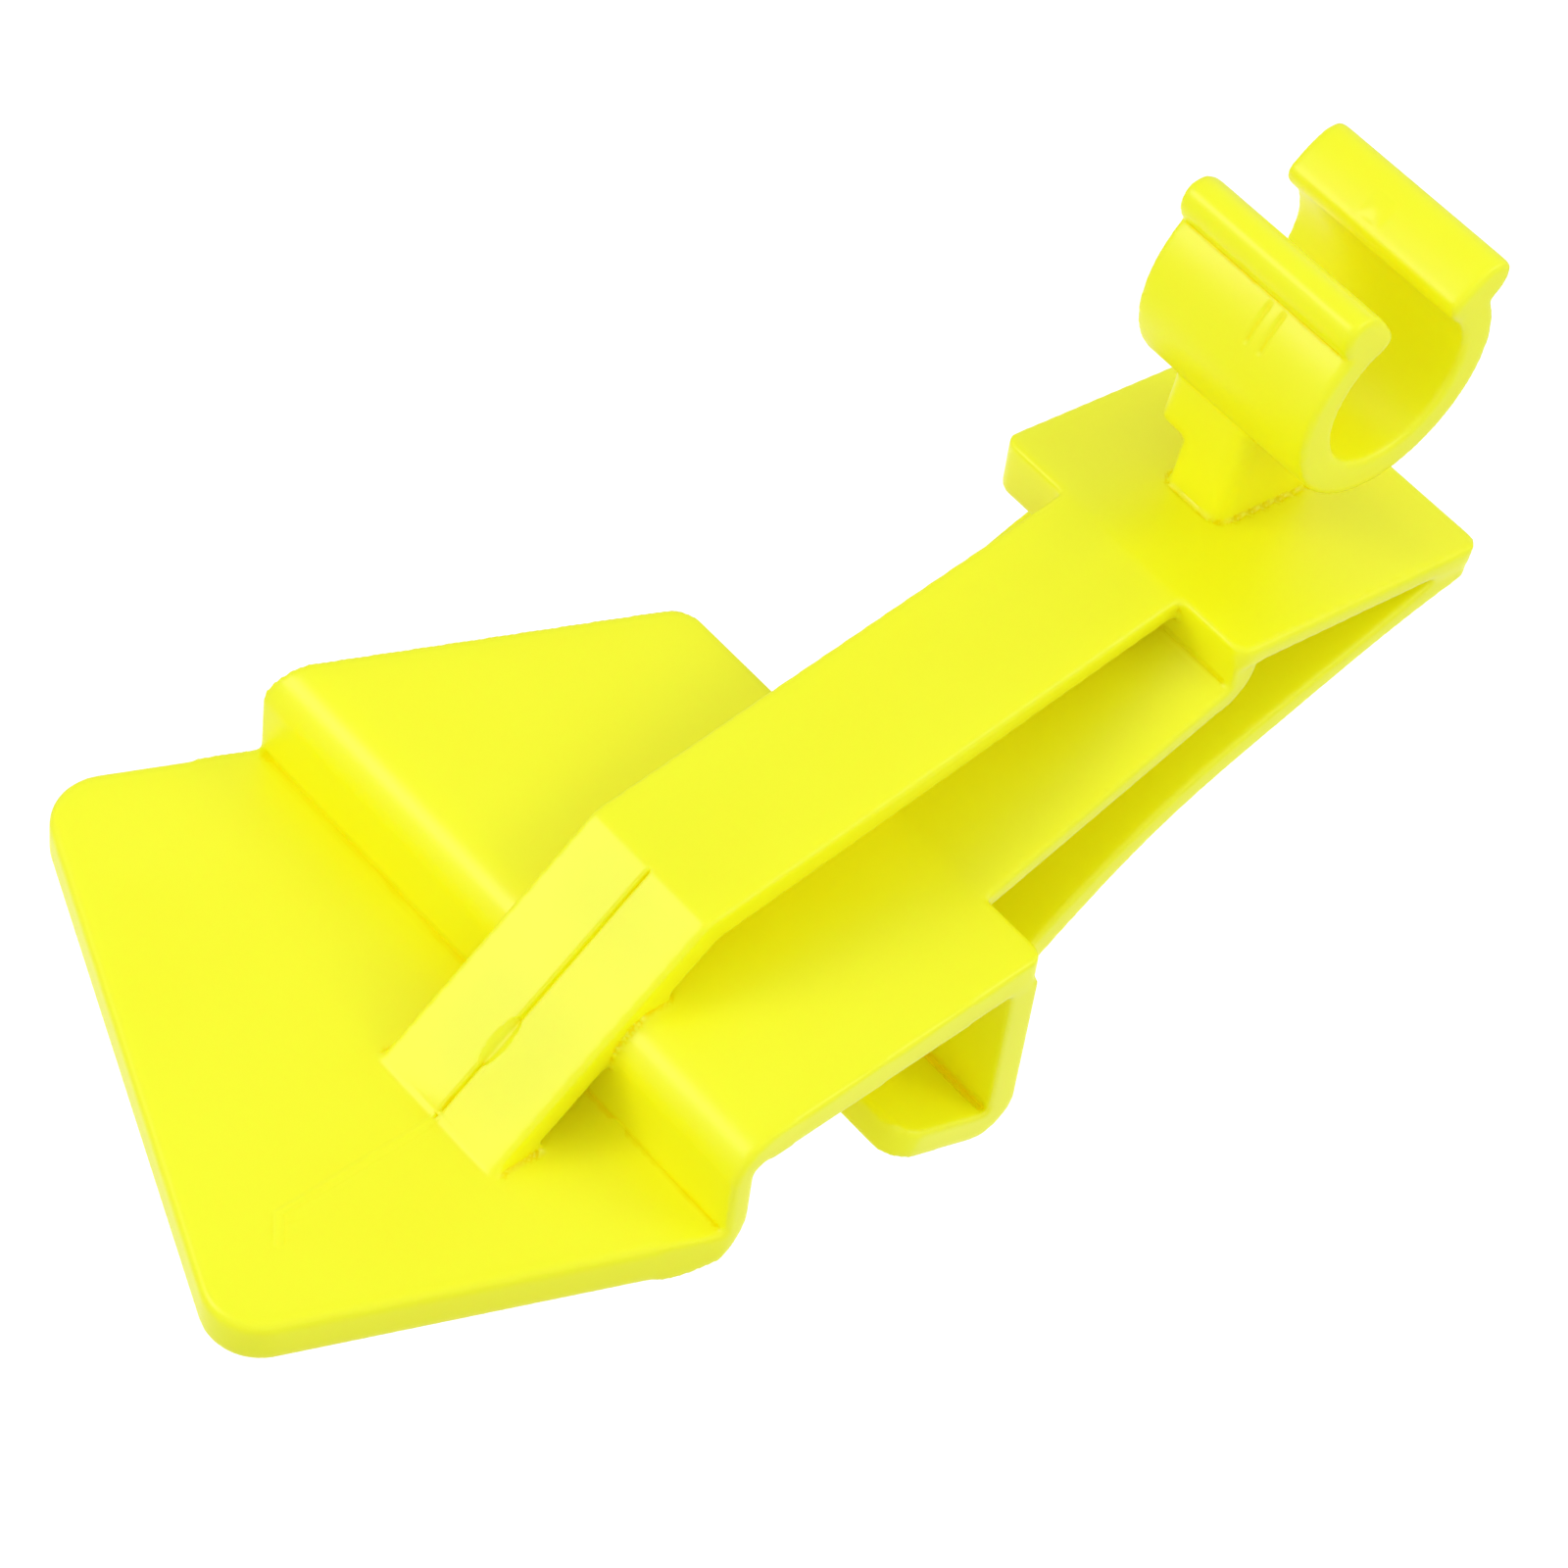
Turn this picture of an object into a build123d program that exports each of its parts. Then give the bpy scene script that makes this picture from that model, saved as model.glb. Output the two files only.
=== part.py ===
from build123d import *
import math
import os

os.makedirs("parts", exist_ok=True)

# Clip-on pull lever, one plastic moulding. Millimetres, +Z up.
# Origin: centre of the rod clip's bore. The clip's axis is Y, the finger plate lies towards -X.

# Rod clip
BORE_R = 5.1  # for a 10 mm rod
RING_R = 7.4
CLIP_HALF = 6.9  # half the clip's length along the rod
THROAT = (3.5, math.sqrt(BORE_R**2 - 3.5**2))  # where the right jaw's nose leaves the bore
NECK = (5.85, math.sqrt(RING_R**2 - 5.85**2))  # where it leaves the ring's outside
POST_HALF_X = 4.4
POST_NEAR = -1.5  # the post's two faces, along Y
POST_FAR = 3.0
SADDLE_FAR = 5.0  # the saddle above it reaches further on the far side
SADDLE_Z = -9.6
POST_CORNER_R = 0.9

# Side profile of the arm, measured from the upper plate's top right edge
ARM_X = -30.6
ARM_Z = -20.4
HEAD_LEFT = (17.8, 9.3)
HEAD_RIGHT = (37.9, 5.88)
HEAD_T = 1.45
HEAD_HALF = 10.3
HEAD_CORNER_R = 1.0
BACK_HALF = 10.2
RAMP_NEAR = -10.0
FLANGE_T = 1.8
FLANGE_DROP = 4.0  # depth of the head's left end face
STRAP_BEND = (-16.8, 4.9)
STRAP_END_X = -31.4
STRAP_T = 1.9
STRAP_HALF = 5.05
GROOVE_HALF = 0.2
GROOVE_DEPTH = 0.5
WEB_HALF = 0.8

# Paddle: two plates joined by a step
STEP = 7.0
UPPER_T = 2.3
FINGER_T = 3.2
RISER_X = -23.0
RISER_T = 1.5
TOP_R = 2.8
TOE_R = 0.2
HEEL_R = 4.2
JOIN_LOW = -26.5
JOIN_HIGH = RISER_X + TOP_R
EDGE_R = 0.5

# Foot: a wall under the upper plate that ends in an upturned lip
WALL_T = 2.0
FOOT_HALF = 15.0
FOOT_Z = -13.2
FOOT_R = 2.2
LIP_ANGLE = 25.0
LIP_LENGTH = 7.3

# Curves shared by neighbouring pieces, in the side profile
RAMP_TOP = (17.8, 6.1)
RAMP_UNDER = (17.0, 4.3)
RAMP_TURN = (18.9, 5.2)
RAMP_T = 1.4
BACK_LOW = [(31.7, 2.3), (23.0, -0.3), (15.9, -2.8), (11.1, -5.4), (6.0, -9.1)]
BACK_HIGH = [(5.0, -7.4), (10.1, -3.9), (15.2, -1.2), (22.5, 1.3)]

HEAD_TILT = math.atan2(HEAD_LEFT[1] - HEAD_RIGHT[1], HEAD_RIGHT[0] - HEAD_LEFT[0])
HEAD_DROP = (-ARM_X - HEAD_LEFT[0]) * math.sin(HEAD_TILT) + (-ARM_Z - HEAD_LEFT[1]) * math.cos(HEAD_TILT)
LEG_SLOPE = (STRAP_BEND[1] + STEP) / (STRAP_BEND[0] - STRAP_END_X)

HEAD_UNDER_LEFT = (HEAD_LEFT[0], HEAD_LEFT[1] - HEAD_T)
RAMP_ROOT = (HEAD_LEFT[0] + FLANGE_T, HEAD_UNDER_LEFT[1] - FLANGE_T * math.tan(HEAD_TILT))
BACK_ROOT = (35.0, HEAD_UNDER_LEFT[1] - (35.0 - HEAD_LEFT[0]) * math.tan(HEAD_TILT))
HEAD_UNDER_RIGHT = (37.7, HEAD_UNDER_LEFT[1] - (37.7 - HEAD_LEFT[0]) * math.tan(HEAD_TILT))
BACK_END = (HEAD_UNDER_RIGHT[0], HEAD_UNDER_RIGHT[1] - 1.0)
BACK_FOOT = (0, FOOT_Z + 2.1)
BEND_UNDER = (STRAP_BEND[0] + 0.9, STRAP_BEND[1] - STRAP_T)
LEG_FOOT = (STRAP_END_X, -STEP)
LEG_UNDER = (STRAP_END_X + 3.1, -STEP)

side = Plane(origin=(ARM_X, 0, ARM_Z), x_dir=(1, 0, 0), z_dir=(0, -1, 0))
plan = Plane(origin=(ARM_X, 0, ARM_Z), x_dir=(1, 0, 0), z_dir=(0, 0, 1))
clip = Plane(
    origin=(0, 0, 0),
    x_dir=(math.cos(HEAD_TILT), 0, -math.sin(HEAD_TILT)),
    z_dir=(0, -1, 0),
)
clip_middle = Plane(origin=(0, 0, 0), x_dir=(0, 1, 0), z_dir=clip.x_dir)


def bar(points, half, plane=side, mode=Mode.ADD):
    """A straight-sided profile, extruded by half to each side of the middle."""
    with BuildSketch(plane) as profile:
        with BuildLine():
            Polyline(*points, close=True)
        make_face()
    extrude(profile.sketch, amount=half, both=True, mode=mode)


def trim_to_paddle():
    """Cuts the part being built to the paddle's skewed outline, as seen from above."""
    with BuildSketch(plan.offset(-20)) as outline:
        with BuildLine():
            Polyline((-49.6, -4.6), (-35.0, 32.5), (0, 16.7), (0, -15.0), (-23.1, -15.7), close=True)
        make_face()
        fillet(outline.vertices().sort_by(Axis.X)[:2], radius=3.4)
        fillet(outline.vertices().sort_by(Axis.X)[-2:].sort_by(Axis.Y)[-1], radius=2.0)
        fillet(outline.vertices().group_by(Axis.X)[-1].sort_by(Axis.Y)[0], radius=0.8)
    extrude(outline.sketch, amount=40, mode=Mode.INTERSECT)


# ---- paddle ----

with BuildPart() as finger_plate:
    bar([(-60, -STEP), (JOIN_LOW, -STEP), (JOIN_LOW, -STEP - FINGER_T), (-60, -STEP - FINGER_T)], 40)
    trim_to_paddle()
    join = finger_plate.faces().sort_by(Axis.X)[-1]
    rims = finger_plate.faces().sort_by(Axis.Z)[-1].edges() + finger_plate.faces().sort_by(Axis.Z)[0].edges()
    fillet(rims - join.edges(), radius=EDGE_R)
finger_plate.part.label = "finger_plate"
export_step(finger_plate.part, "parts/finger_plate.step")

with BuildPart() as step_riser:
    back_x = RISER_X + RISER_T
    low_z = -STEP - FINGER_T
    with BuildSketch(side):
        with BuildLine():
            Line((JOIN_LOW, -STEP), (RISER_X - TOE_R, -STEP))
            RadiusArc((RISER_X - TOE_R, -STEP), (RISER_X, -STEP + TOE_R), -TOE_R)
            Line((RISER_X, -STEP + TOE_R), (RISER_X, -TOP_R))
            RadiusArc((RISER_X, -TOP_R), (JOIN_HIGH, 0), TOP_R)
            Line((JOIN_HIGH, 0), (JOIN_HIGH, -UPPER_T))
            RadiusArc((JOIN_HIGH, -UPPER_T), (back_x, -UPPER_T - 0.8), -0.8)
            Line((back_x, -UPPER_T - 0.8), (back_x, low_z + HEEL_R))
            RadiusArc((back_x, low_z + HEEL_R), (back_x - HEEL_R, low_z), HEEL_R)
            Line((back_x - HEEL_R, low_z), (JOIN_LOW, low_z))
            Line((JOIN_LOW, low_z), (JOIN_LOW, -STEP))
        make_face()
    extrude(amount=40, both=True)
    trim_to_paddle()
step_riser.part.label = "step_riser"
export_step(step_riser.part, "parts/step_riser.step")

with BuildPart() as upper_plate:
    bar([(JOIN_HIGH, 0), (0, 0), (0, -UPPER_T), (JOIN_HIGH, -UPPER_T)], 40)
    trim_to_paddle()
upper_plate.part.label = "upper_plate"
export_step(upper_plate.part, "parts/upper_plate.step")

# ---- foot ----

with BuildPart() as foot_wall:
    bar([(0, -UPPER_T), (0, FOOT_Z), (-WALL_T, FOOT_Z), (-WALL_T, -UPPER_T)], FOOT_HALF)
foot_wall.part.label = "foot_wall"
export_step(foot_wall.part, "parts/foot_wall.step")

with BuildPart() as foot_lip:
    turn = math.radians(LIP_ANGLE)
    down = Vector(-math.sin(turn), -math.cos(turn))
    out = Vector(-math.cos(turn), math.sin(turn)) * LIP_LENGTH
    bend = Vector(-FOOT_R, FOOT_Z)
    outer = bend + down * FOOT_R
    inner = bend + down * (FOOT_R - WALL_T)
    with BuildSketch(side):
        with BuildLine():
            RadiusArc((0, FOOT_Z), outer, FOOT_R)
            Polyline(outer, outer + out, inner + out, inner)
            RadiusArc(inner, (-WALL_T, FOOT_Z), WALL_T - FOOT_R)
            Line((-WALL_T, FOOT_Z), (0, FOOT_Z))
        make_face()
    extrude(amount=FOOT_HALF, both=True)
    tip = foot_lip.faces().sort_by(Axis.X)[0]
    fillet(tip.edges().filter_by(Axis.Y, reverse=True), radius=2.0)
foot_lip.part.label = "foot_lip"
export_step(foot_lip.part, "parts/foot_lip.step")

# ---- arm ----

with BuildPart() as head_plate:
    bar([HEAD_LEFT, HEAD_RIGHT, HEAD_UNDER_RIGHT, HEAD_UNDER_LEFT], HEAD_HALF)
    corners = head_plate.edges().filter_by(lambda e: abs(e.tangent_at(0.5).Z) > 0.9)
    fillet(corners, radius=HEAD_CORNER_R)
head_plate.part.label = "head_plate"
export_step(head_plate.part, "parts/head_plate.step")

with BuildPart() as ramp_sheet:
    with BuildSketch(side.offset(-STRAP_HALF)):
        with BuildLine():
            Polyline((0, 0), RAMP_TOP, HEAD_UNDER_LEFT, RAMP_ROOT)
            ThreePointArc(RAMP_ROOT, RAMP_TURN, RAMP_UNDER)
            Polyline(RAMP_UNDER, (0, -RAMP_T), (0, 0))
        make_face()
    extrude(amount=STRAP_HALF - RAMP_NEAR)
ramp_sheet.part.label = "ramp_sheet"
export_step(ramp_sheet.part, "parts/ramp_sheet.step")

with BuildPart() as head_flange:
    low_z = HEAD_LEFT[1] - FLANGE_DROP
    with BuildSketch(side.offset(-HEAD_HALF)):
        with BuildLine():
            Polyline(HEAD_UNDER_LEFT, RAMP_ROOT, (RAMP_ROOT[0], low_z), (HEAD_LEFT[0], low_z), close=True)
        make_face()
    extrude(amount=HEAD_HALF - STRAP_HALF)
    far_edges = head_flange.edges().filter_by(Axis.Z).group_by(Axis.Y)[-1]
    fillet(far_edges.sort_by(Axis.X)[0], radius=HEAD_CORNER_R)
head_flange.part.label = "head_flange"
export_step(head_flange.part, "parts/head_flange.step")

with BuildPart() as back_sheet:
    with BuildSketch(side):
        with BuildLine():
            Polyline(BACK_ROOT, HEAD_UNDER_RIGHT, BACK_END)
            Spline(BACK_END, *BACK_LOW, (0, FOOT_Z))
            Line((0, FOOT_Z), BACK_FOOT)
            Spline(BACK_FOOT, *BACK_HIGH, BACK_ROOT)
        make_face()
    extrude(amount=BACK_HALF, both=True)
    fillet(back_sheet.edges().filter_by(Axis.Z).group_by(Axis.X)[-1], radius=HEAD_CORNER_R)
back_sheet.part.label = "back_sheet"
export_step(back_sheet.part, "parts/back_sheet.step")

with BuildPart() as strap_run:
    bar([HEAD_LEFT, HEAD_UNDER_LEFT, BEND_UNDER, STRAP_BEND], STRAP_HALF)
strap_run.part.label = "strap_run"
export_step(strap_run.part, "parts/strap_run.step")

with BuildPart() as strap_leg:
    bar([STRAP_BEND, BEND_UNDER, LEG_UNDER, LEG_FOOT], STRAP_HALF)
    top = Vector(STRAP_BEND[0] - 1.0, STRAP_BEND[1] - LEG_SLOPE)
    low = Vector(STRAP_END_X + 1.5, 1.5 * LEG_SLOPE - STEP)
    deep = low + Vector(2.0, 2.0 * LEG_SLOPE - GROOVE_DEPTH)
    bar([top, deep, low], GROOVE_HALF, mode=Mode.SUBTRACT)
    add(step_riser.part, mode=Mode.SUBTRACT)
    add(upper_plate.part, mode=Mode.SUBTRACT)
strap_leg.part.label = "strap_leg"
export_step(strap_leg.part, "parts/strap_leg.step")

with BuildPart() as strap_web:
    bar([(JOIN_HIGH, 0), BEND_UNDER, HEAD_UNDER_LEFT, (17.8, 5.6), (0, -0.5), (0, 0)], WEB_HALF)
    add(strap_leg.part, mode=Mode.SUBTRACT)
    add(ramp_sheet.part, mode=Mode.SUBTRACT)
    add(upper_plate.part, mode=Mode.SUBTRACT)
strap_web.part.label = "strap_web"
export_step(strap_web.part, "parts/strap_web.step")

with BuildPart() as toe_web:
    bar([LEG_UNDER, (RISER_X + 0.6, -2.0), (RISER_X + 0.6, -STEP)], WEB_HALF)
    add(strap_leg.part, mode=Mode.SUBTRACT)
    add(step_riser.part, mode=Mode.SUBTRACT)
toe_web.part.label = "toe_web"
export_step(toe_web.part, "parts/toe_web.step")

with BuildPart() as arm_web:
    with BuildSketch(side):
        with BuildLine():
            Polyline(BACK_FOOT, (0, -RAMP_T), RAMP_UNDER)
            ThreePointArc(RAMP_UNDER, RAMP_TURN, RAMP_ROOT)
            Line(RAMP_ROOT, BACK_ROOT)
            Spline(BACK_FOOT, *BACK_HIGH, BACK_ROOT)
        make_face()
    extrude(amount=WEB_HALF, both=True)
arm_web.part.label = "arm_web"
export_step(arm_web.part, "parts/arm_web.step")

# ---- rod clip ----

with BuildPart() as clip_ring:
    throat_left = (-THROAT[0], THROAT[1])
    neck_left = (-NECK[0], NECK[1])
    with BuildSketch(clip):
        with BuildLine():
            ThreePointArc(NECK, (0, -RING_R), neck_left)
            Line(neck_left, throat_left)
            ThreePointArc(throat_left, (0, -BORE_R), THROAT)
            Line(THROAT, NECK)
        make_face()
    extrude(amount=CLIP_HALF, both=True)
clip_ring.part.label = "clip_ring"
export_step(clip_ring.part, "parts/clip_ring.step")

with BuildPart() as clip_lip_right:
    with BuildSketch(clip):
        with BuildLine():
            Line(NECK, THROAT)
            Spline(THROAT, (2.75, 4.35), (2.6, 4.9), (3.05, 5.65), (4.4, 6.9), (5.5, 7.3), (6.45, 6.9), (6.7, 6.1), NECK)
        make_face()
    extrude(amount=CLIP_HALF, both=True)
clip_lip_right.part.label = "clip_lip_right"
export_step(clip_lip_right.part, "parts/clip_lip_right.step")

with BuildPart() as clip_lip_left:
    mirror(clip_lip_right.part, about=clip_middle)
clip_lip_left.part.label = "clip_lip_left"
export_step(clip_lip_left.part, "parts/clip_lip_left.step")

with BuildPart() as clip_saddle:
    with BuildSketch(clip.offset(-SADDLE_FAR)):
        Rectangle(2 * POST_HALF_X, -SADDLE_Z, align=(Align.CENTER, Align.MAX))
        Circle(RING_R, mode=Mode.SUBTRACT)
    extrude(amount=SADDLE_FAR - POST_NEAR)
    uprights = clip_saddle.edges().filter_by(lambda e: abs((e % 0.5).Z) > 0.9)
    fillet(uprights, radius=POST_CORNER_R)
clip_saddle.part.label = "clip_saddle"
export_step(clip_saddle.part, "parts/clip_saddle.step")

with BuildPart() as clip_post:
    with BuildSketch(clip.offset(-POST_FAR)):
        with BuildLine():
            Polyline(
                (-POST_HALF_X, SADDLE_Z),
                (POST_HALF_X, SADDLE_Z),
                (POST_HALF_X, -HEAD_DROP),
                (-POST_HALF_X, -HEAD_DROP),
                close=True,
            )
        make_face()
    extrude(amount=POST_FAR - POST_NEAR)
    uprights = clip_post.edges().filter_by(lambda e: abs((e % 0.5).Z) > 0.9)
    fillet(uprights, radius=POST_CORNER_R)
clip_post.part.label = "clip_post"
export_step(clip_post.part, "parts/clip_post.step")
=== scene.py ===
import math

import bmesh
import bpy
import numpy as np
from mathutils import Matrix, Vector


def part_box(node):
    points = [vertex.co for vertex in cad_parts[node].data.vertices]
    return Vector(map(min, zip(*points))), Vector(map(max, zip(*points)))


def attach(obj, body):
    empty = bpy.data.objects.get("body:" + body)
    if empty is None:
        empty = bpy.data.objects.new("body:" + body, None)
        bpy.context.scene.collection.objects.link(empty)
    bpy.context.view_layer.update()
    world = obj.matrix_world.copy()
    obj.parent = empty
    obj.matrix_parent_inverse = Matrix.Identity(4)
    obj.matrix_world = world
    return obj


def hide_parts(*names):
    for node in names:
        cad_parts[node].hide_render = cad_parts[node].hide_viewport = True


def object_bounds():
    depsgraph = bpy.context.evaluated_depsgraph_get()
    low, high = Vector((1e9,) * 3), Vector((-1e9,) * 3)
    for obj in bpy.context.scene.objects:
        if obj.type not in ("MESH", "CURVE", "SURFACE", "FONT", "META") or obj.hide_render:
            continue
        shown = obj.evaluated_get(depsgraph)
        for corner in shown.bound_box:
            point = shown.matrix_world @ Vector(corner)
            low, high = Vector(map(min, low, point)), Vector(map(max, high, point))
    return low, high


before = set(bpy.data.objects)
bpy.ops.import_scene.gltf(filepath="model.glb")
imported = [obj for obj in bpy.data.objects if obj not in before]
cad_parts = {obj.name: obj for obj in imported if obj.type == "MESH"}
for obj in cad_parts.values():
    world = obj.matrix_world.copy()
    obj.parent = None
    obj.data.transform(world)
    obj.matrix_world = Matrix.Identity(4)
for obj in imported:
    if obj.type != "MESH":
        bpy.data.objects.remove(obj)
cad_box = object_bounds()

# Lengths on the lever are in millimetres, in the frame's axes. The studio and the camera are in metres.
MM = 0.001

# Skin of the moulding
VOXEL = 0.2         # grain of the mesh
GROW = 0.06         # swelling that makes up for what the rounding takes off
SETTLING = 3        # smoothing passes over everything, to iron out the grain
ROUNDING = 10       # smoothing passes that soften the outer edges only
CREASING = 5        # passes that press the inner corners sharp again
TRIANGLES = 150000  # the most that the finished skin keeps
SHARP = 38          # degrees between two faces from which their edge is drawn sharp

# Marks that are too fine for the CAD model
CAD_GROOVE_HALF = 0.3       # a box round the CAD model's own groove, which is filled in
CAD_GROOVE_DEEP = 0.7
LINE_DEPTH = 0.10           # the strap leg's groove
DENT_DEPTH = 0.30           # the wider dent in it
DENT_HALF = 0.55            # half its width
DENT_AT = 0.685             # its middle, as a part of the leg's length from the bend
DENT_REACH = 0.095          # half its length, measured the same way
RIDGE_HEIGHT = 0.10         # the raised line on the finger plate
RIDGE_LENGTH = 10.6
RIDGE_TURN = (1.2, 1.6)     # how far its last stretch goes on, and how far aside
TICK_DEPTH = 0.13           # two ticks outside the clip's left jaw
TICK_PLACES = (-0.8, -1.9)  # along the clip
PAD_HEIGHT = 0.14           # the pad inside the right jaw
PAD_HALF = 0.9
PAD_PLACE = (4.65, 0.85, 5.35)
PAD_SLOPE = (0.62, 0, 0.78)

# Places measured on the frame's own nodes
STRAP_UNDERCUT = 0.9        # the strap leg's underside starts this far past its bend
leg_low, leg_high = (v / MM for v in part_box("strap_leg"))
leg_foot = Vector((leg_low.x, 0, leg_low.z))
leg_bend = Vector((leg_high.x - STRAP_UNDERCUT, 0, leg_high.z))
leg_run = (leg_foot - leg_bend).normalized()
leg_out = Vector((leg_run.z, 0, -leg_run.x))
leg_length = (leg_foot - leg_bend).length
finger_low, finger_high = (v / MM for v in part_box("finger_plate"))
ring_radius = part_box("clip_ring")[1].x / MM


# ---------------------------------------------------------------- mesh helpers

def fill_groove(part):
    """Lifts the bottom of the CAD model's groove to the strap leg's face. Returns the vertices moved."""
    moved = []
    for v in part.verts:
        depth = (v.co - leg_bend).dot(leg_out)
        if abs(v.co.y) < CAD_GROOVE_HALF and -CAD_GROOVE_DEEP < depth < 0.01:
            v.co -= leg_out * depth
            moved.append(v)
    return moved


def gather(nodes):
    """One mesh, in millimetres, of all these CAD nodes, each grown a little so that neighbours overlap."""
    bm = bmesh.new()
    for node in nodes:
        part = bmesh.new()
        part.from_mesh(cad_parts[node].data)
        bmesh.ops.scale(part, vec=(1 / MM, 1 / MM, 1 / MM), verts=part.verts)
        bmesh.ops.remove_doubles(part, verts=part.verts, dist=0.001)
        flush = fill_groove(part) if node == "strap_leg" else []
        part.normal_update()
        moves = [(leg_out if v in flush else v.normal) * GROW for v in part.verts]
        for v, move in zip(part.verts, moves):
            v.co += move
        piece = bpy.data.meshes.new("part")
        part.to_mesh(piece)
        part.free()
        bm.from_mesh(piece)
        bpy.data.meshes.remove(piece)
    mesh = bpy.data.meshes.new("lever_moulding")
    bm.to_mesh(mesh)
    bm.free()
    return mesh


def apply_modifiers(obj):
    graph = bpy.context.evaluated_depsgraph_get()
    mesh = bpy.data.meshes.new_from_object(obj.evaluated_get(graph))
    obj.modifiers.clear()
    obj.data = mesh
    return mesh


def read(mesh):
    co = np.empty(len(mesh.vertices) * 3)
    mesh.vertices.foreach_get("co", co)
    return co.reshape(-1, 3)


def write(mesh, co):
    mesh.vertices.foreach_set("co", np.ascontiguousarray(co, np.float32).ravel())
    mesh.update()


def normals_of(mesh):
    out = np.empty(len(mesh.vertices) * 3)
    mesh.vertex_normals.foreach_get("vector", out)
    return out.reshape(-1, 3)


def links_of(mesh):
    """The mesh's edges as pairs of vertices, and how many edges meet at each vertex."""
    edges = np.empty(len(mesh.edges) * 2, np.int64)
    mesh.edges.foreach_get("vertices", edges)
    count = np.bincount(edges, minlength=len(mesh.vertices)).astype(float)[:, None]
    return edges.reshape(-1, 2), count


def spread(values, links):
    """The average of each vertex's neighbours."""
    edges, count = links
    n = len(values)
    total = np.empty_like(values)
    for k in range(values.shape[1]):
        total[:, k] = np.bincount(edges[:, 0], values[edges[:, 1], k], n)
        total[:, k] += np.bincount(edges[:, 1], values[edges[:, 0], k], n)
    return total / count


def hollowness(mesh, co, links):
    """How far each vertex lies behind its neighbours, above 0 in an inner corner, and the normals."""
    write(mesh, co)
    facing = normals_of(mesh)
    return ((spread(co, links) - co) * facing).sum(axis=1)[:, None], facing


def settle(mesh, passes):
    """Smooths everything, to iron out the steps that the voxels leave."""
    co, links = read(mesh), links_of(mesh)
    for _ in range(passes):
        for step in (0.5, -0.5):
            co = co + step * (spread(co, links) - co)
    write(mesh, co)


def round_crests(mesh, passes):
    """Smooths the outer edges and the faces, and leaves the inner corners as they are."""
    co, links = read(mesh), links_of(mesh)
    for i in range(passes):
        if i % 3 == 0:
            hollow = hollowness(mesh, co, links)[0]
            for _ in range(4):
                hollow = spread(hollow, links)
            weight = np.clip(1 - (hollow - 0.004) / 0.010, 0, 1)
        for step in (0.6, -0.4):
            co = co + weight * step * (spread(co, links) - co)
    write(mesh, co)


def deepen_corners(mesh, passes):
    """Presses the inner corners back into sharp ones."""
    co, links = read(mesh), links_of(mesh)
    for _ in range(passes):
        hollow, facing = hollowness(mesh, co, links)
        co = co - np.clip(hollow - 0.008, 0, 0.04) * facing
    write(mesh, co)


def refine(mesh, low, high):
    """Doubles the mesh's grain inside a box."""
    bm = bmesh.new()
    bm.from_mesh(mesh)
    inside = {v for v in bm.verts if all(a < c < b for a, c, b in zip(low, v.co, high))}
    edges = [e for e in bm.edges if e.verts[0] in inside and e.verts[1] in inside]
    bmesh.ops.subdivide_edges(bm, edges=edges, cuts=1, use_grid_fill=True)
    bm.to_mesh(mesh)
    bm.free()


def near_path(co, path):
    """Distance, seen from above, from each vertex to a path of straight lines."""
    best = np.full(len(co), np.inf)
    for start, end in zip(path, path[1:]):
        start, way = np.array(start), np.array(end) - np.array(start)
        t = np.clip(((co[:, :2] - start) @ way) / (way @ way), 0, 1)
        best = np.minimum(best, np.linalg.norm(co[:, :2] - start - t[:, None] * way, axis=1))
    return best


def fade(x, full, gone):
    """1 at full, 0 at gone and smooth in between, whichever of the two is larger."""
    t = np.clip((x - gone) / (full - gone), 0, 1)
    return t * t * (3 - 2 * t)


# ---------------------------------------------------------------- fine marks

def carve_leg(co):
    """The groove along the strap's leg, with a leaf-shaped dent part way down."""
    out = np.array(leg_out)
    from_bend = co - np.array(leg_bend)
    along = from_bend @ np.array(leg_run)
    aside = np.abs(co[:, 1])
    on_leg = (np.abs(from_bend @ out) < 0.5) * fade(along, 0.4, 0)
    on_leg = on_leg * fade(along, leg_length - 0.3, leg_length)
    line = LINE_DEPTH * fade(aside, 0.04, 0.22)
    place = (along / leg_length - DENT_AT) / DENT_REACH
    width = DENT_HALF * np.sqrt(np.clip(1 - place ** 2, 0.0001, 1))
    dent = DENT_DEPTH * np.clip(1 - (aside / width) ** 2, 0, 1)
    return co - (on_leg * np.maximum(line, dent))[:, None] * out


def raise_line(co):
    """The thin line that runs on across the finger plate and turns aside at its end."""
    end_x = leg_low.x - RIDGE_LENGTH
    path = [(leg_low.x + 0.3, 0), (end_x, 0), (end_x - RIDGE_TURN[0], -RIDGE_TURN[1])]
    on_plate = np.abs(co[:, 2] - finger_high.z) < 0.3
    height = RIDGE_HEIGHT * fade(near_path(co, path), 0.08, 0.32) * on_plate
    return co + height[:, None] * (0, 0, 1)


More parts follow.
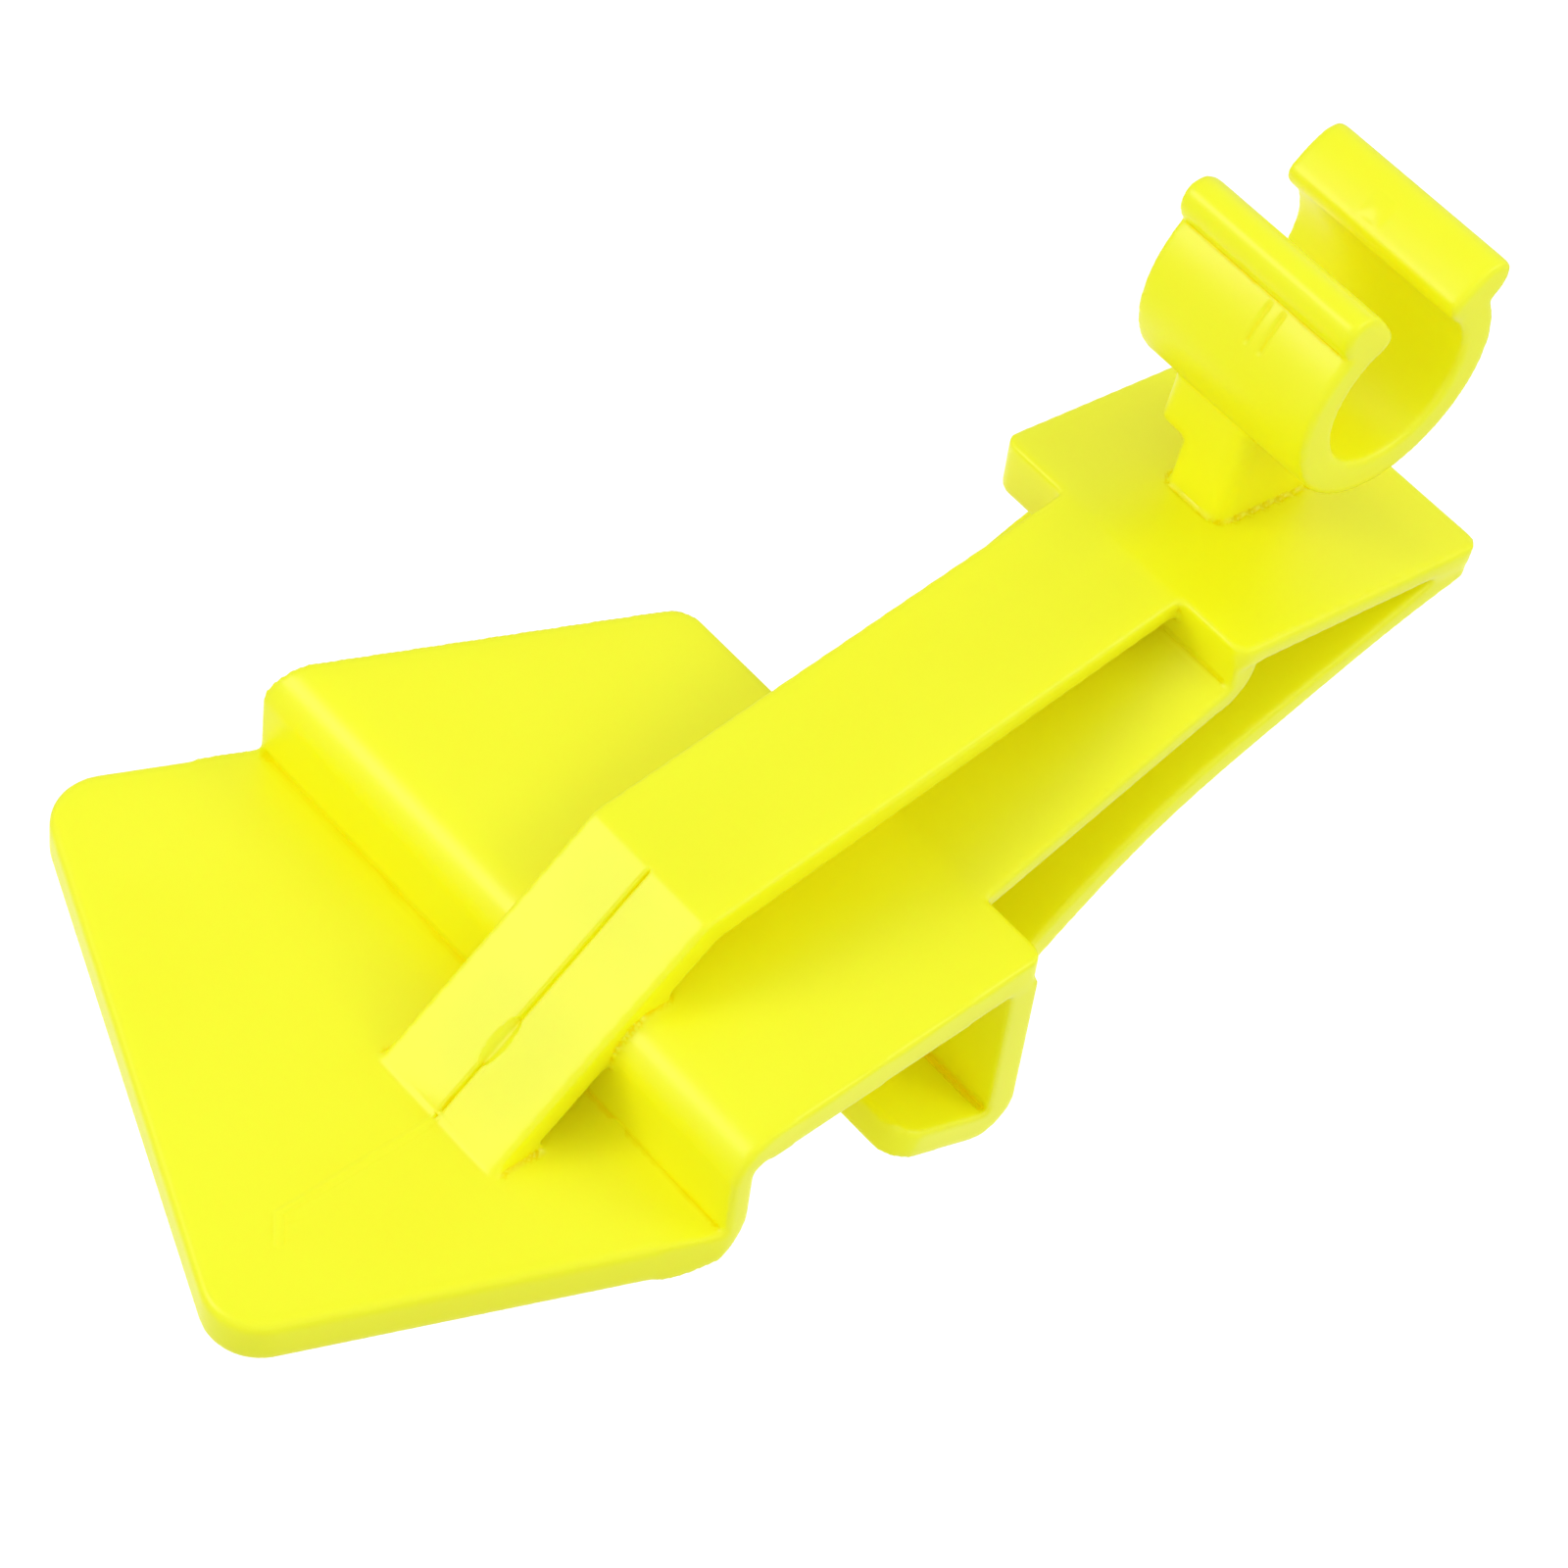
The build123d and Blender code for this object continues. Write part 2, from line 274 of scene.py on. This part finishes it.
def mark_clip(co, facing):
    """Two ticks outside the clip's left jaw, and a slight pad on the right jaw's inner slope."""
    radial = co * (1, 0, 1)
    radius = np.linalg.norm(radial, axis=1)
    on_ring = (np.abs(radius - ring_radius) < 0.3) * (co[:, 0] < 0)
    on_ring = on_ring * fade(co[:, 2], 3.1, 2.6) * fade(co[:, 2], 4.8, 5.4)
    ticks = sum(fade(np.abs(co[:, 1] - y), 0.06, 0.24) for y in TICK_PLACES)
    co = co - (TICK_DEPTH * on_ring * ticks / (radius + 1e-9))[:, None] * radial

    slope = np.array(PAD_SLOPE)
    square = np.array((-slope[2], 0, slope[0]))
    from_pad = co - PAD_PLACE
    on_slope = (np.abs(from_pad @ square) < 0.5) * (facing @ square > 0.7)
    dome = np.clip(1 - (from_pad[:, 1] / PAD_HALF) ** 2, 0, 1)
    dome = dome * np.clip(1 - (from_pad @ slope / PAD_HALF) ** 2, 0, 1)
    return co + (PAD_HEIGHT * on_slope * dome)[:, None] * square


# ---------------------------------------------------------------- the moulding

def lever_moulding():
    """One skin round all the CAD nodes, with rounded edges and the fine marks."""
    lever = bpy.data.objects.new("lever_moulding", gather(sorted(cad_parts)))
    bpy.context.scene.collection.objects.link(lever)
    remesh = lever.modifiers.new("skin", "REMESH")
    remesh.mode = "VOXEL"
    remesh.voxel_size = VOXEL
    remesh.use_smooth_shade = True
    skin = apply_modifiers(lever)
    settle(skin, SETTLING)
    round_crests(skin, ROUNDING)
    deepen_corners(skin, CREASING)

    refine(skin, (leg_low.x, -0.9, leg_low.z + 0.5), (leg_bend.x, 0.9, leg_high.z))
    refine(skin, (finger_low.x, -2.5, finger_high.z - 0.3), (leg_low.x + 0.5, 0.9, finger_high.z + 0.3))
    refine(skin, (-ring_radius - 0.4, -3, 1.2), (-4.2, 0, 5.4))
    refine(skin, (3.4, -0.4, 4.0), (6.0, 2.1, 6.8))
    write(skin, mark_clip(raise_line(carve_leg(read(skin))), normals_of(skin)))

    thin = lever.modifiers.new("thin", "DECIMATE")
    thin.ratio = min(1, TRIANGLES / (2 * len(skin.polygons)))
    skin = apply_modifiers(lever)
    skin.transform(Matrix.Scale(MM, 4))
    for polygon in skin.polygons:
        polygon.use_smooth = True
    skin.set_sharp_from_angle(angle=math.radians(SHARP))
    return lever


# ---------------------------------------------------------------- materials

def new_material(name):
    mat = bpy.data.materials.new(name)
    mat.use_nodes = True
    return mat, mat.node_tree, mat.node_tree.nodes["Principled BSDF"]


def remap(tree, source, before, after):
    """A node that maps the range before onto the range after, and holds the ends."""
    node = tree.nodes.new("ShaderNodeMapRange")
    node.inputs["From Min"].default_value = before[0]
    node.inputs["From Max"].default_value = before[1]
    node.inputs["To Min"].default_value = after[0]
    node.inputs["To Max"].default_value = after[1]
    tree.links.new(source, node.inputs["Value"])
    return node


def noise(tree, place, scale, detail):
    node = tree.nodes.new("ShaderNodeTexNoise")
    node.inputs["Scale"].default_value = scale
    node.inputs["Detail"].default_value = detail
    tree.links.new(place.outputs["Object"], node.inputs["Vector"])
    return node.outputs["Fac"]


def yellow_plastic():
    """Translucent satin plastic, cloudy in tint and gloss, with painted shade in its creases: a deeper,
    darker yellow and less shine there.
    """
    mat, tree, bsdf = new_material("yellow_plastic")
    link = tree.links.new
    place = tree.nodes.new("ShaderNodeTexCoord")
    cloud = noise(tree, place, scale=70, detail=3)
    tint = tree.nodes.new("ShaderNodeValToRGB")
    tint.color_ramp.elements[0].position = 0.3
    tint.color_ramp.elements[0].color = (0.98, 0.89, 0.003, 1)
    tint.color_ramp.elements[1].position = 0.7
    tint.color_ramp.elements[1].color = (0.99, 0.912, 0.008, 1)
    link(cloud, tint.inputs["Fac"])

    # Painted shade: inner creases (low pointiness) get a darker yellow and a weaker reflection, standing in
    # for the shade that falls in them.
    shape = tree.nodes.new("ShaderNodeNewGeometry")
    no_crease_shade = remap(tree, shape.outputs["Pointiness"], (0.44, 0.49), (0, 1)).outputs["Result"]
    crease_shaded_colour = tree.nodes.new("ShaderNodeMix")
    crease_shaded_colour.data_type = "RGBA"
    # The painted shade colour of the creases.
    crease_shaded_colour.inputs["A"].default_value = (0.93, 0.80, 0.001, 1)
    link(tint.outputs["Color"], crease_shaded_colour.inputs["B"])
    link(no_crease_shade, crease_shaded_colour.inputs["Factor"])
    link(crease_shaded_colour.outputs["Result"], bsdf.inputs["Base Color"])
    # Painted shade: less shine in the creases, so that no highlight shows there.
    crease_shaded_shine = remap(tree, no_crease_shade, (0, 1), (0.05, 0.5))
    link(crease_shaded_shine.outputs["Result"], bsdf.inputs["Specular IOR Level"])
    rough = remap(tree, cloud, (0, 1), (0.34, 0.44))
    link(rough.outputs["Result"], bsdf.inputs["Roughness"])

    bump = tree.nodes.new("ShaderNodeBump")
    bump.inputs["Strength"].default_value = 0.06
    bump.inputs["Distance"].default_value = 0.0001
    link(noise(tree, place, scale=2600, detail=2), bump.inputs["Height"])
    link(bump.outputs["Normal"], bsdf.inputs["Normal"])
    bsdf.inputs["Subsurface Weight"].default_value = 0.85
    bsdf.inputs["Subsurface Radius"].default_value = (1.0, 0.85, 0.12)
    bsdf.inputs["Subsurface Scale"].default_value = 0.003
    bsdf.inputs["IOR"].default_value = 1.49
    return mat


def paper(spot):
    """Pale paper with a painted pool of light round spot: the paper glows there, though it is no lamp."""
    mat, tree, bsdf = new_material("paper")
    bsdf.inputs["Base Color"].default_value = (0.6, 0.6, 0.6, 1)
    bsdf.inputs["Roughness"].default_value = 0.9
    bsdf.inputs["Emission Color"].default_value = (1, 1, 1, 1)
    place = tree.nodes.new("ShaderNodeTexCoord")
    apart = tree.nodes.new("ShaderNodeVectorMath")
    apart.operation = "DISTANCE"
    apart.inputs[1].default_value = spot
    tree.links.new(place.outputs["Object"], apart.inputs[0])
    # Painted light: the floor's emission is strongest inside a disc round spot and fades out beyond it.
    painted_light_pool = remap(tree, apart.outputs["Value"], (0.12, 0.21), (0.65, 0))
    painted_light_pool.interpolation_type = "SMOOTHSTEP"
    tree.links.new(painted_light_pool.outputs["Result"], bsdf.inputs["Emission Strength"])
    return mat


# ---------------------------------------------------------------- studio

FLOOR_HALF = 3.0
FLOOR_DROP = 0.12               # clear of the lever, so that it casts no shadow in view
POOL_ASIDE = (0.082, 0.075)     # POOL_ASIDE = (0.082, 0.075) # from the lever's middle to the middle of the floor's painted pool of light, which is what the camera sees of the floor
LAMP_DISTANCE = 0.5


def stage_floor(middle):
    z = cad_box[0][2] - FLOOR_DROP
    corners = [(-FLOOR_HALF, -FLOOR_HALF, z), (FLOOR_HALF, -FLOOR_HALF, z)]
    corners += [(FLOOR_HALF, FLOOR_HALF, z), (-FLOOR_HALF, FLOOR_HALF, z)]
    mesh = bpy.data.meshes.new("floor")
    mesh.from_pydata(corners, [], [(0, 1, 2, 3)])
    mesh.materials.append(paper((middle.x + POOL_ASIDE[0], middle.y + POOL_ASIDE[1], z)))
    floor = bpy.data.objects.new("floor", mesh)
    bpy.context.scene.collection.objects.link(floor)


def sky():
    """White surroundings, brightest low on the near side and dimmest overhead."""
    world = bpy.data.worlds.new("studio")
    bpy.context.scene.world = world
    world.use_nodes = True
    tree = world.node_tree
    heading = tree.nodes.new("ShaderNodeTexCoord")
    lean = tree.nodes.new("ShaderNodeVectorMath")
    lean.operation = "DOT_PRODUCT"
    lean.inputs[1].default_value = Vector((0.2, -0.75, -0.63)).normalized()
    tree.links.new(heading.outputs["Generated"], lean.inputs[0])
    strength = remap(tree, lean.outputs["Value"], (-0.75, 0.75), (0.70, 1.12))
    background = tree.nodes["Background"]
    tree.links.new(strength.outputs["Result"], background.inputs["Strength"])
    background.inputs["Color"].default_value = (0.94, 1, 1, 1)


def lamp(name, toward, size, power, aim):
    light = bpy.data.lights.new(name, "AREA")
    light.shape = "DISK"
    light.size = size
    light.energy = power
    piece = bpy.data.objects.new(name, light)
    bpy.context.scene.collection.objects.link(piece)
    piece.location = aim + Vector(toward).normalized() * LAMP_DISTANCE
    piece.rotation_euler = (aim - piece.location).to_track_quat("-Z", "Y").to_euler()


# ---------------------------------------------------------------- camera

AZIMUTH = math.radians(43.1)    # heading of the view, from +X towards +Y
DOWN = math.radians(50.2)
ROLL = math.radians(8.75)
DISTANCE = 0.3226
AIM = Vector((-0.0343, 0.0033, -0.0208))


def add_camera():
    ahead = Vector((math.cos(AZIMUTH) * math.cos(DOWN), math.sin(AZIMUTH) * math.cos(DOWN), -math.sin(DOWN)))
    level = Vector((math.sin(AZIMUTH), -math.cos(AZIMUTH), 0))
    right = level * math.cos(ROLL) + level.cross(ahead) * math.sin(ROLL)
    up = right.cross(ahead)
    lens = bpy.data.cameras.new("camera")
    lens.sensor_width = 36
    lens.lens = 129.4
    lens.clip_start = 0.01
    lens.clip_end = 20
    camera = bpy.data.objects.new("camera", lens)
    bpy.context.scene.collection.objects.link(camera)
    turn = Matrix((right, up, -ahead)).transposed().to_4x4()
    camera.matrix_world = Matrix.Translation(AIM - ahead * DISTANCE) @ turn
    bpy.context.scene.camera = camera
    bpy.context.scene.view_settings.view_transform = "Standard"


# ---------------------------------------------------------------- the scene

lever = lever_moulding()
lever.data.materials.clear()
lever.data.materials.append(yellow_plastic())
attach(lever, "root")
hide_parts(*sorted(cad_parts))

lever_middle = (Vector(cad_box[0]) + Vector(cad_box[1])) / 2
stage_floor(lever_middle)
sky()
lamp("key", (-0.66, 0.50, 0.58), 0.22, 0.68, lever_middle)
lamp("rim", (0.47, -0.60, 0.60), 0.15, 0.33, lever_middle)
add_camera()
